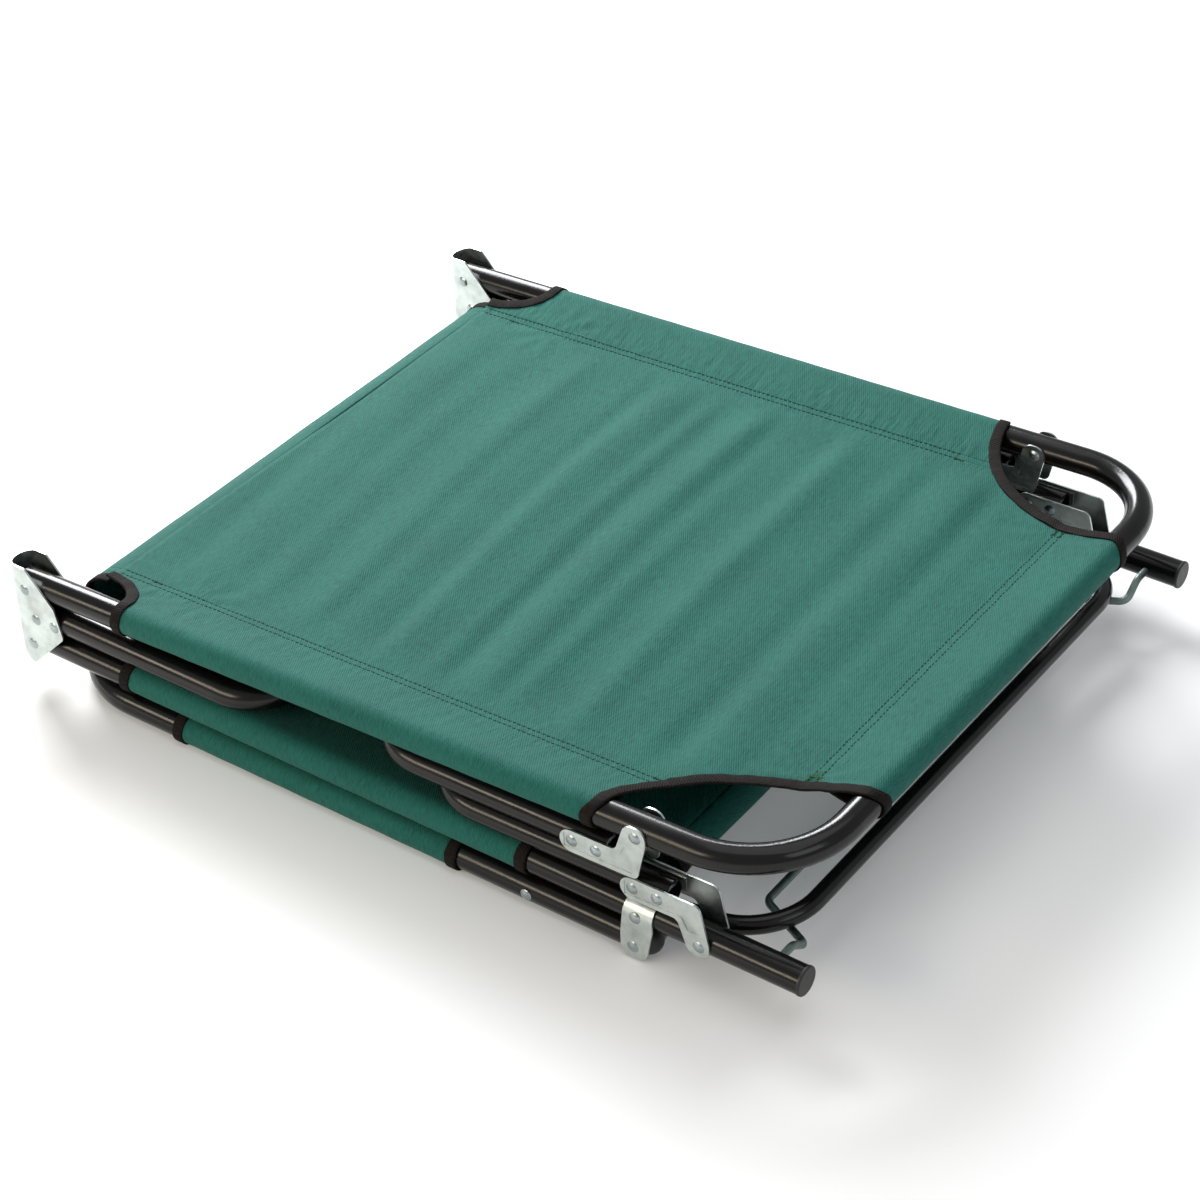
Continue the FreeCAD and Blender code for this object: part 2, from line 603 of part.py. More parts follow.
def rounded_path(corners, radius):
    """Wire through the corners with each inner corner rounded to radius."""
    edges = []
    here = corners[0]
    for before, corner, after in zip(corners, corners[1:], corners[2:]):
        back, ahead = (before - corner).normalize(), (after - corner).normalize()
        half_angle = back.getAngle(ahead) / 2
        run = radius / math.tan(half_angle)
        start, end = corner + back * run, corner + ahead * run
        bisector = (back + ahead).normalize()
        middle = corner + bisector * (radius / math.sin(half_angle) - radius)
        edges.append(Part.LineSegment(here, start).toShape())
        edges.append(Part.Arc(start, middle, end).toShape())
        here = end
    edges.append(Part.LineSegment(here, corners[-1]).toShape())
    return Part.Wire(edges)


# The wire runs from rail to rail, and dips and steps back to pass under the stay.
# Its corners turn in three dimensions, so it is swept along a path of Part edges.
x_rail, x_mid = value_of("{brace_end}"), value_of("{brace_mid}")
y_rail = value_of("{half_width} - {rail_dia}/2 + {rail_wall} + 4")
y_out, y_in, dip = value_of("{brace_outer}"), value_of("{brace_inner}"), value_of("{brace_dip}")
half_route = [Vector(x_rail, -y_rail, 0), Vector(x_rail, -y_out - 1.4 * dip, 0),
              Vector(x_rail, -y_out, -dip), Vector(x_mid, -y_in, -dip)]
other_half = [Vector(point.x, -point.y, point.z) for point in reversed(half_route)]
route = rounded_path(half_route + other_half, value_of("{brace_bend}"))
wire_end = Part.Circle(half_route[0], Vector(0, 1, 0), value_of("{brace_dia}/2")).toShape()
brace = doc.addObject("Part::Feature", "Brace")
brace.Shape = route.makePipeShell([Part.Wire([wire_end])], True, False)
place(brace, FRAME_B)
doc.recompute()
keep(brace, "wire_brace")

cloth_panel("fabric_b", FRAME_B, "{fold_cloth_x} + {cloth_gap}", "{turn_cloth_x} - {cloth_gap}",
            "{sleeve_start}", "{b_sleeve_end}",
            [("{fold_cloth_x}", "({sleeve_start} - {fold_cloth_x})",
              "({half_width} - {fold_cloth_half})"),
             ("{turn_cloth_x}", "({turn_cloth_x} - {b_sleeve_end})",
              "({half_width} - {turn_cloth_half})")])
cloth_turn("fabric_turn", FRAME_B, "{turn_cloth_x}", "-{frame_c_drop}/2", "{frame_c_drop}/2",
           "{turn_cloth_half}", "-90")

# ------------------------------------------------------------------- fold leg
# A U-shaped leg riveted into two channel brackets that carry sections A and B.
fold_leg = u_tube("FoldLeg", "{half_width}", "{fold_leg_reach}", "{fold_leg_start}",
                  "{fold_leg_bend}", "{rail_dia}", "{rail_wall}")
fold_rivets = [("{fold_rivet_first}", "0"), ("{fold_rivet_first} + {fold_rivet_pitch}", "0")]
drill(fold_leg, fold_rivets)
place(fold_leg, FRAME_FOLD + " * " + at("0", "0", "{fold_rise}/2"))
keep(fold_leg, "fold_leg_tube")

channel_points = [
    ("-2*" + WEB_REACH, "{fold_rise} + {fold_top} - 6"), ("-{web_centre} - 2", "{fold_rise} + {fold_top}"),
    ("3", "{fold_rise} + {fold_top}"),
    ("{fold_shoulder}", "{fold_rise} - 8"), ("{fold_right}", "{fold_rise}/3"),
    ("-2", "-{fold_foot}"), ("-{web_centre} - 3", "-{web_foot}"), ("-2*" + WEB_REACH, "-{web_foot}"),
]
channel_corners = [(channel_points[2], "3"), (channel_points[3], "8"),
                   (channel_points[4], "5"), (channel_points[5], "4")]
channel_holes = [("0", "0"), ("0", "{fold_rise}")]
channel_holes += [(x_text, "{fold_rise}/2") for x_text, _ in fold_rivets]
channel_strip = bent_strip("ChannelStrip", "XY_Plane", PLATE_Y, "4*{fold_rise}",
                           "{fold_right} + 5", "-{web_centre}")
channel_block = outline_block("ChannelBlock", channel_points, channel_corners, channel_holes)
place(channel_strip, FRAME_FOLD + " * " + at("0", "-{half_width}", "0"))
place(channel_block, FRAME_FOLD + " * " + at("0", "-{half_width}", "0"))
doc.recompute()
channel_near = keep(boolean("Common", channel_strip, channel_block, "ChannelNear"),
                    "fold_bracket_near")
keep(mirrored(channel_near, "ChannelFar"), "fold_bracket_far")
rivet_row("fold_leg_rivets", FRAME_FOLD, [(x_text, "{fold_rise}/2") for x_text, _ in fold_rivets])
rivet_row("fold_pivots_b", FRAME_FOLD, [("0", "0")])
rivet_row("fold_pivots_a", FRAME_FOLD, [("0", "{fold_rise}")])
cloth_turn("fabric_fold", FRAME_FOLD, "{fold_cloth_x}", "{fold_rise}/2", "{fold_rise}/2",
           "{fold_cloth_half}", "90")

# ------------------------------------------------------------------ section A
frame_a = u_tube("FrameA", "{half_width}", "{frame_a_reach}", "-{rail_stub}", "{corner_bend}",
                 "{rail_dia}", "{rail_wall}")
drill(frame_a, [("0", "0"), ("{leg_a_pivot}", "0")])
place(frame_a, FRAME_A)
keep(frame_a, "frame_a")
cloth_panel("fabric_a", FRAME_A, "{fold_cloth_x} + {cloth_gap}",
            "{frame_a_reach} - %s - {sleeve_wall}/2" % SLEEVE_IN, "{sleeve_start}", "{a_sleeve_end}",
            [("{fold_cloth_x}", "({sleeve_start} - {fold_cloth_x})",
              "({half_width} - {fold_cloth_half})"),
             ("{frame_a_reach}", "({frame_a_reach} - {a_sleeve_end})",
              "({half_width} - {corner_half})")], bar="{frame_a_reach}")

# ----------------------------------------------------------- legs on A and B
# One leg design, used twice: upright under section A, turned over on section B.
# In a leg's frame the origin is its pivot, and the tube lies leg_offset below it.
plate_top = "(-{leg_offset} + {leg_plate_width}/2)"
plate_foot = "(-{leg_offset} - {leg_plate_width}/2)"
plate_points = [
    ("-{leg_plate_tail}", plate_foot), ("1", plate_foot), ("{pivot_lug}", "-{pivot_lug}/2"),
    ("{pivot_lug}", "{pivot_lug}"), ("-{pivot_lug}", "{pivot_lug}"),
    ("-{pivot_lug}*2", plate_top), ("-{leg_plate_tail}", plate_top),
]
plate_corners = [(plate_points[0], "{leg_plate_width}/2 - 0.1"), (plate_points[1], "6"),
                 (plate_points[2], "8"), (plate_points[3], "{pivot_lug} - 0.1"),
                 (plate_points[4], "{pivot_lug} - 0.1"), (plate_points[5], "6"),
                 (plate_points[6], "{leg_plate_width}/2 - 0.1")]
recess_points = [
    ("-{leg_plate_tail} + {recess_margin}", plate_foot + " + {recess_margin}"),
    ("-{recess_margin}", plate_foot + " + {recess_margin}"),
    ("{pivot_lug} - 2*{recess_margin}", "-{rivet_head_dia} - 1.5"),
    ("-{pivot_lug} - 0.5", "-{rivet_head_dia} - 1.5"),
    ("-{pivot_lug}*2 + {recess_margin}", plate_top + " - {recess_margin}"),
    ("-{leg_plate_tail} + {recess_margin}", plate_top + " - {recess_margin}"),
]
boss_points = [recess_points[0], ("-{leg_start} + 3", plate_foot + " + {recess_margin}"),
               ("-{leg_start} + 3", plate_top + " - {recess_margin}"), recess_points[5]]
leg_rivets = ["{leg_rivet_first}", "({leg_rivet_first} + {leg_rivet_pitch})"]
boss_high = "({rail_dia} - {leg_dia})/2"
LEG_GRIP = "(2*(%s + {plate_thick} - {recess_depth}))" % PLATE_Y


def leg_plate(name):
    """Dog-leg plate, its inner face on y = 0 and its outer face on the -Y side."""
    body = doc.addObject("PartDesign::Body", name)
    outline = new_sketch(body, "XZ_Plane", "Outline")
    add_polygon(outline, plate_points)
    base = pad(body, outline, "{plate_thick}")
    base = round_edges(body, base, plate_corners, axis=1)
    recess = new_sketch(body, "XZ_Plane", "Recess")
    recess.setExpression(".AttachmentOffset.Base.z", S("{plate_thick}"))
    add_polygon(recess, recess_points)
    pad(body, recess, "{recess_depth}", name="PressedIn", kind="PartDesign::Pocket")
    if value_of(boss_high) > 0.05:
        boss = new_sketch(body, "XZ_Plane", "Boss")
        add_polygon(boss, boss_points)
        raised = pad(body, boss, boss_high, name="PressedOut")
        raised.Reversed = True
    doc.recompute()
    drill(body, [("0", "0")] + [("-" + x_text, "-{leg_offset}") for x_text in leg_rivets])
    return body


def leg_set(side, frame):
    """U leg with its four plates, four leg rivets and two pivot rivets."""
    tube = u_tube("Leg" + side, "{half_width}", "{leg_reach}", "{leg_start}", "{leg_bend}",
                  "{leg_dia}", "{leg_wall}")
    drill(tube, [(x_text, "0") for x_text in leg_rivets])
    place(tube, frame + " * " + at("0", "0", "-{leg_offset}", "0;0;1", "180"))
    tag = "leg_" + side.lower()
    keep(tube, tag + "_tube")
    outer = leg_plate("LegPlate" + side)
    flip = FLIP[side]
    place(outer, frame + " * " + at("0", "-{half_width} - " + PLATE_Y, "0"))
    doc.recompute()
    first = "near" if flip == 1 else "far"
    second = "far" if flip == 1 else "near"
    inner = mirrored(outer, outer.Name + "Inner", "-{half_width}" if flip == 1 else "{half_width}")
    rows = {first: [outer, inner],
            second: [mirrored(outer, outer.Name + "OuterB"), mirrored(inner, inner.Name + "B")]}
    for name in ("near", "far"):
        group(rows[name], "%s_plates_%s" % (tag, name))
    spots = [("-" + x_text, "-{leg_offset}") for x_text in leg_rivets]
    rivet_row(tag + "_rivets", frame, spots, LEG_GRIP)
    rivet_row(tag + "_pivots", frame, [("0", "0")])


FLIP = {"A": 1, "B": -1}      # leg B's frame is turned over, so its -Y side is the far side
leg_set("A", FRAME_LEG_A)
leg_set("B", FRAME_LEG_B)

# ------------------------------------------------------------------ section C
frame_c = u_tube("FrameC", "{half_width}", "{frame_c_reach}", "-{frame_c_stub}", "{corner_bend}",
                 "{rail_dia}", "{rail_wall}")
drill(frame_c, [("0", "0"), ("{stay_pivot}", "0")])
place(frame_c, FRAME_C)
keep(frame_c, "frame_c")
ball_cap = end_cap("BallCap", round_end=True)
drill(ball_cap, [("-{frame_c_stub}", "0")])
place(ball_cap, at(FOLD_X + " + {frame_c_pivot} + {frame_c_stub}", "-{half_width}", AXIS_C))
group([ball_cap, mirrored(ball_cap, "BallCapFar")], "frame_c_end_caps")
rivet_row("frame_c_pivots", FRAME_C, [("0", "0")])
turn_edge = "({frame_c_pivot} - {turn_cloth_x})"
cloth_panel("fabric_c", FRAME_C, turn_edge + " + {cloth_gap}",
            "{frame_c_reach} - %s - {sleeve_wall}/2" % SLEEVE_IN, "{c_sleeve_near}", "{c_sleeve_far}",
            [(turn_edge, "({c_sleeve_near} - %s)" % turn_edge, "({half_width} - {turn_cloth_half})"),
             ("{frame_c_reach}", "({frame_c_reach} - {c_sleeve_far})",
              "({half_width} - {corner_half})")], bar="{frame_c_reach}")

# ------------------------------------------------------------------------ stay
stay = u_tube("Stay", "{stay_half_width}", "{stay_reach}", "-{stay_stub}", "{stay_bend}",
              "{stay_dia}", "{stay_wall}")
drill(stay, [("0", "0")])
place(stay, FRAME_STAY)
keep(stay, "stay_tube")
stay_outer = "({half_width} + {rail_dia}/2 + {head_gap})"
stay_inner = "({stay_half_width} - {stay_dia}/2 - {head_gap})"
rivet_row("stay_pivots", FRAME_STAY, [("0", "0")], "(%s - %s)" % (stay_outer, stay_inner),
          "-(%s + %s)/2" % (stay_outer, stay_inner))
spacer = doc.addObject("PartDesign::Body", "StaySpacer")
spacer_ring = new_sketch(spacer, "XZ_Plane", "Ring")
add_circle(spacer_ring, "0", "0", "{spacer_dia}/2")
add_circle(spacer_ring, "0", "0", HOLE_R)
spacer_from = "({half_width} - {rail_dia}/2 - {head_gap})"
spacer_to = "({stay_half_width} + {stay_dia}/2 + {head_gap})"
pad(spacer, spacer_ring, "%s - %s" % (spacer_from, spacer_to), midplane=True)
place(spacer, FRAME_STAY + " * " + at("0", "-(%s + %s)/2" % (spacer_from, spacer_to), "0"))
doc.recompute()
group([spacer, mirrored(spacer, "StaySpacerFar")], "stay_spacers")

# ---------------------------------------------------------------------- export
doc.recompute()
for obj in doc.Objects:
    if "Invalid" in obj.State or "Error" in obj.State:
        raise RuntimeError("%s did not recompute" % obj.Label)
for node in nodes:
    shape = node.Shape
    if shape.isNull() or not shape.isValid() or not shape.Solids:
        raise RuntimeError("%s has no valid solid" % node.Label)
    shape.exportStep("parts/%s.step" % node.Label)
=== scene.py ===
import json
import math
import random
import bmesh
import bpy
import numpy as np
from mathutils import Matrix, Vector


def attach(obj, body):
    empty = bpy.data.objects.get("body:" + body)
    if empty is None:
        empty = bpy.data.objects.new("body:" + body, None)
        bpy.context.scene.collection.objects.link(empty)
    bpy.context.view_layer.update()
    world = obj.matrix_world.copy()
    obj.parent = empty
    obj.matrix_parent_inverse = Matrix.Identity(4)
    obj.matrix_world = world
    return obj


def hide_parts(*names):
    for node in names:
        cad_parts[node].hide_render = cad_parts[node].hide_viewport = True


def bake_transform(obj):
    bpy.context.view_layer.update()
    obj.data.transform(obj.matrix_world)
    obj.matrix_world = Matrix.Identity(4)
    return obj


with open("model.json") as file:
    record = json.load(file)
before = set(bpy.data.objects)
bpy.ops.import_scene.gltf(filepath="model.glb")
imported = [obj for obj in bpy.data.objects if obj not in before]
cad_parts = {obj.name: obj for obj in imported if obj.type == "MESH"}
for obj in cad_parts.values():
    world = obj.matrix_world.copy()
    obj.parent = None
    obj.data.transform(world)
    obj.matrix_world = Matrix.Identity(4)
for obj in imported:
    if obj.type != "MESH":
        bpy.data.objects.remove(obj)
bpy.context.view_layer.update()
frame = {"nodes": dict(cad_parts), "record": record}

# A folding cot, folded flat.  Lengths inside the cloth builders are in millimetres, in each
# section's own frame: x along the tubes from the section's pivot, y across the cot, z up.
nodes = frame["nodes"]
random.seed(7)

MM = 0.001
FOLD_X = -342.875       # pivots of the fold between sections A and B
PITCH_A = 2.15          # degrees that section A leans on the stack
LEVEL_B = 39.3          # section B's tube axes above the floor
FOLD_RISE = 51.5        # section A's pivots above section B's
TURN_AT = 570.0         # section C's pivots along section B
TURN_DROP = 27.5        # and below it


def place_of(x, z, axis=(0, 0, 1), turn=0.0):
    """Matrix of a section's frame, in metres."""
    return Matrix.Translation(Vector((x, 0, z)) * MM) @ Matrix.Rotation(math.radians(turn), 4, axis)


FRAME_A = place_of(FOLD_X, LEVEL_B + FOLD_RISE, (0, -1, 0), PITCH_A)
FRAME_B = place_of(FOLD_X, LEVEL_B)
FRAME_C = place_of(FOLD_X + TURN_AT, LEVEL_B - TURN_DROP, (0, 0, 1), 180)


# ------------------------------------------------------------------ materials
def new_material(name):
    material = bpy.data.materials.new(name)
    material.use_nodes = True
    tree = material.node_tree
    return material, tree, tree.nodes["Principled BSDF"]


def add(tree, kind, **values):
    """New shader node with its sockets or properties set by name."""
    node = tree.nodes.new(kind)
    for key, value in values.items():
        socket = node.inputs.get(key.replace("_", " "))
        if socket is None:
            setattr(node, key, value)
        else:
            socket.default_value = value
    return node


def math_node(tree, operation, a, b=None):
    """Output of a math node whose inputs are numbers or other nodes' outputs."""
    node = tree.nodes.new("ShaderNodeMath")
    node.operation = operation
    for socket, value in zip(node.inputs, (a, b)):
        if value is None:
            continue
        if isinstance(value, (int, float)):
            socket.default_value = value
        else:
            tree.links.new(value, socket)
    return node.outputs[0]


def ramp(tree, source, stops):
    """Colour ramp over (position, colour) stops."""
    node = tree.nodes.new("ShaderNodeValToRGB")
    elements = node.color_ramp.elements
    elements[0].position, elements[0].color = stops[0][0], (*stops[0][1], 1)
    elements[1].position, elements[1].color = stops[-1][0], (*stops[-1][1], 1)
    for position, colour in stops[1:-1]:
        elements.new(position).color = (*colour, 1)
    tree.links.new(source, node.inputs["Fac"])
    return node.outputs["Color"]


def grey_ramp(tree, source, low, high, start=0.0, end=1.0):
    return ramp(tree, source, [(start, (low,) * 3), (end, (high,) * 3)])


def bump(tree, height, strength, distance, normal=None):
    node = add(tree, "ShaderNodeBump", Strength=strength, Distance=distance)
    tree.links.new(height, node.inputs["Height"])
    if normal is not None:
        tree.links.new(normal, node.inputs["Normal"])
    return node.outputs["Normal"]


def noise_of(tree, scale, detail=3.0, rough=0.5, vector=None):
    node = add(tree, "ShaderNodeTexNoise", Scale=scale, Detail=detail, Roughness=rough)
    if vector is not None:
        tree.links.new(vector, node.inputs["Vector"])
    return node.outputs["Fac"]


def object_coordinates(tree, scale=(1, 1, 1)):
    """The object's own coordinates, scaled, so that a pattern moves with its body."""
    coordinates = tree.nodes.new("ShaderNodeTexCoord")
    mapping = add(tree, "ShaderNodeMapping", Scale=scale)
    tree.links.new(coordinates.outputs["Object"], mapping.inputs["Vector"])
    return mapping.outputs["Vector"]


def enamel_material():
    """Gloss black enamel with faint orange peel, dust and rubbed patches."""
    material, tree, shader = new_material("black_enamel")
    place = object_coordinates(tree)
    patches = noise_of(tree, 26, 5, 0.6, place)
    base = ramp(tree, patches, [(0.35, (0.003, 0.0028, 0.0026)), (0.62, (0.0045, 0.004, 0.0035)),
                                (0.8, (0.009, 0.008, 0.0065))])
    tree.links.new(base, shader.inputs["Base Color"])
    smears = noise_of(tree, 9, 6, 0.65, object_coordinates(tree, (1, 1, 4)))
    tree.links.new(grey_ramp(tree, smears, 0.15, 0.30, 0.35, 0.75), shader.inputs["Roughness"])
    peel = bump(tree, noise_of(tree, 420, 2, 0.5, place), 0.10, 0.0004)
    dents = bump(tree, noise_of(tree, 45, 2, 0.4, place), 0.05, 0.002, peel)
    tree.links.new(dents, shader.inputs["Normal"])
    shader.inputs["Specular IOR Level"].default_value = 0.34
    return material


def zinc_material(name, tint, low, high):
    """Bright zinc plate: pale grain, stamping scratches and a slight bloom."""
    material, tree, shader = new_material(name)
    place = object_coordinates(tree)
    shader.inputs["Metallic"].default_value = 1.0
    cloud = noise_of(tree, 60, 6, 0.6, place)
    dark = tuple(c * 0.72 for c in tint)
    light = tuple(min(1, c * 1.12) for c in tint)
    base = ramp(tree, cloud, [(0.3, dark), (0.55, tint), (0.8, light)])
    tree.links.new(base, shader.inputs["Base Color"])
    grain = noise_of(tree, 300, 4, 0.7, object_coordinates(tree, (0.35, 1, 1)))
    tree.links.new(grey_ramp(tree, grain, low, high, 0.3, 0.7), shader.inputs["Roughness"])
    scratches = noise_of(tree, 900, 2, 0.5, object_coordinates(tree, (0.06, 1, 0.8)))
    worn = bump(tree, scratches, 0.12, 0.0003)
    tree.links.new(bump(tree, noise_of(tree, 90, 2, 0.5, place), 0.10, 0.001, worn),
                   shader.inputs["Normal"])
    return material


def plastic_material():
    """Satin black moulded cap with a fine grain."""
    material, tree, shader = new_material("cap_plastic")
    place = object_coordinates(tree)
    base = ramp(tree, noise_of(tree, 80, 4, 0.6, place),
                [(0.3, (0.006, 0.006, 0.006)), (0.8, (0.014, 0.0135, 0.013))])
    tree.links.new(base, shader.inputs["Base Color"])
    tree.links.new(grey_ramp(tree, noise_of(tree, 120, 3, 0.5, place), 0.36, 0.58),
                   shader.inputs["Roughness"])
    tree.links.new(bump(tree, noise_of(tree, 1600, 2, 0.5, place), 0.25, 0.0002),
                   shader.inputs["Normal"])
    return material


def cloth_coordinates(tree):
    """The cloth's own flat coordinates, in metres, as separate outputs."""
    uv = add(tree, "ShaderNodeUVMap", uv_map="flat")
    split = tree.nodes.new("ShaderNodeSeparateXYZ")
    tree.links.new(uv.outputs["UV"], split.inputs[0])
    return uv.outputs["UV"], split.outputs[0], split.outputs[1]


def mix_of(tree, a, weight_a, b, weight_b):
    """Weighted sum of two outputs."""
    return math_node(tree, "ADD", math_node(tree, "MULTIPLY", a, weight_a),
                     math_node(tree, "MULTIPLY", b, weight_b))


TWILL = 0.62            # the ribs' slant, and the threads' pitch over the ribs'


def weave_height(tree, u, v, pitch):
    """Twill: diagonal ribs crossed by the finer threads that make them."""
    slant = math_node(tree, "ADD", u, math_node(tree, "MULTIPLY", v, TWILL))
    across = math_node(tree, "MULTIPLY", slant, 2 * math.pi / pitch)
    along = math_node(tree, "MULTIPLY", v, 2 * math.pi / (TWILL * pitch))
    ribs = math_node(tree, "SINE", across)
    threads = math_node(tree, "SINE", along)
    return mix_of(tree, ribs, 0.30, threads, 0.16)


def band_at(tree, v, centre, width):
    """1 on both lines at v = +-centre, falling to 0 at width away from them."""
    away = math_node(tree, "ABSOLUTE",
                     math_node(tree, "SUBTRACT", math_node(tree, "ABSOLUTE", v), centre))
    fall = math_node(tree, "SUBTRACT", 1.0, math_node(tree, "DIVIDE", away, width))
    return math_node(tree, "MAXIMUM", fall, 0.0)


def stretched_noise(tree, uv, scale, detail, rough, turn=0.0):
    """Noise over the flat cloth, scaled along and across."""
    mapping = add(tree, "ShaderNodeMapping", Scale=(*scale, 1), Rotation=(0, 0, turn))
    tree.links.new(uv, mapping.inputs["Vector"])
    return noise_of(tree, 1.0, detail, rough, mapping.outputs["Vector"])


SEAM_AT, SEAM_PULL = 0.243, 0.034           # the side seams and how far they pucker, in metres
STITCH_ROWS, STITCH_DENT = (0.236, 0.230), 0.0013


def cloth_material(name, light, mid, dark, pitch, sheen, gloss, seams=False):
    """Dyed twill, with puckers along the stitched seams where seams is set."""
    material, tree, shader = new_material(name)
    uv, u, v = cloth_coordinates(tree)
    yarn = stretched_noise(tree, uv, (900, 130), 3, 0.6)
    dye = noise_of(tree, 14, 5, 0.55, uv)
    mixed = mix_of(tree, yarn, 0.78, dye, 0.22)
    colour = ramp(tree, mixed, [(0.36, dark), (0.5, mid), (0.66, light)])
    normal = bump(tree, weave_height(tree, u, v, pitch), 0.62, 0.0006)
    normal = bump(tree, noise_of(tree, 2600, 2, 0.6, uv), 0.14, 0.0003, normal)
    creases = stretched_noise(tree, uv, (34, 5), 5, 0.55, 0.12)
    normal = bump(tree, creases, 0.42, 0.0035, normal)
    if seams:
        ripple = stretched_noise(tree, uv, (150, 28), 3, 0.6)
        pulled = math_node(tree, "MULTIPLY", ripple, band_at(tree, v, SEAM_AT, SEAM_PULL))
        normal = bump(tree, pulled, 0.75, 0.0022, normal)
        rows = math_node(tree, "ADD", *(band_at(tree, v, row, STITCH_DENT) for row in STITCH_ROWS))
        normal = bump(tree, math_node(tree, "MULTIPLY", rows, -1.0), 0.6, 0.0008, normal)
    tree.links.new(colour, shader.inputs["Base Color"])
    tree.links.new(normal, shader.inputs["Normal"])
    shader.inputs["Roughness"].default_value = 0.74
    shader.inputs["Sheen Weight"].default_value = sheen
    shader.inputs["Sheen Roughness"].default_value = 0.45
    shader.inputs["Specular IOR Level"].default_value = gloss
    return material


ENAMEL = enamel_material()
ZINC = zinc_material("zinc_plate", (0.58, 0.635, 0.61), 0.26, 0.46)
RIVET = zinc_material("rivet_steel", (0.36, 0.41, 0.42), 0.20, 0.38)
# Dull steel wire, darkened and tinted teal-green: the green tint is a painted reflection of the
# green cloth around it.
WIRE = zinc_material("dull_wire", (0.17, 0.22, 0.205), 0.30, 0.50)
PLASTIC = plastic_material()
GREEN = cloth_material("green_twill", (0.0150, 0.130, 0.104), (0.0098, 0.107, 0.085),
                       (0.0060, 0.076, 0.060), 0.0019, 0.04, 0.20, seams=True)
TAPE = cloth_material("binding_twill", (0.017, 0.0125, 0.011), (0.0085, 0.0065, 0.0058),
                      (0.004, 0.0034, 0.003), 0.0022, 0.0, 0.10)
THREAD = cloth_material("thread", (0.020, 0.085, 0.045), (0.013, 0.060, 0.032),
                        (0.008, 0.042, 0.022), 0.0008, 0.0, 0.2)
LOOSE = cloth_material("loose_thread", (0.090, 0.230, 0.080), (0.065, 0.180, 0.060),
                       (0.045, 0.130, 0.042), 0.0008, 0.0, 0.2)

# Looks of the CAD nodes, by the material slot that the record gives them.
SLOT_LOOKS = {"frame_paint": ENAMEL, "zinc_plate": ZINC, "rivet_steel": RIVET,
              "cap_plastic": PLASTIC, "cloth": GREEN}
slot_of = {row["node"]: row["material_slot"] for row in frame["record"]["subparts"]}
for name, node in nodes.items():
    node.data.materials.clear()
    node.data.materials.append(WIRE if name == "wire_brace" else SLOT_LOOKS[slot_of[name]])


# ---------------------------------------------------------------- cloth shape
HALF = 278.0            # tube axis from the middle of the cot
WRAP = 11.45            # radius of the cloth round a 22 mm tube
SEAM = 45.0             # seam inboard of the tube's axis
ROW_GAP = 3.0           # each of the two stitch rows from the seam's middle
CLOTH = 0.7             # thickness
MEET = math.asin(WRAP / SEAM)
CURVE = 1.87            # cut-outs are superellipses of this power
ANGLES = np.linspace(math.pi / 2, -math.pi / 2, 19)     # round the tube, from top to bottom
UNDER = np.linspace(0, SEAM, 12)[1:]                    # back under the tube, to the seam


def sleeve_height(d):
    """Upper layer's height above the tube's axis, d inboard of it."""
    d = np.asarray(d, float)
    start = WRAP * math.sin(MEET)
    line = WRAP * math.cos(MEET) * (SEAM - d) / (SEAM - start)
    soft = 0.5 * (line + np.sqrt(line * line + 1.0))
    arc = np.sqrt(np.maximum(WRAP ** 2 - d * d, 0))
    return np.where(d < start, arc, np.minimum(soft, arc.max(initial=0) + WRAP))


def smooth_step(low, high, value):
    """0 below low, 1 above high, eased in between."""
    t = np.clip((value - low) / (high - low), 0, 1)
    return t * t * (3 - 2 * t)


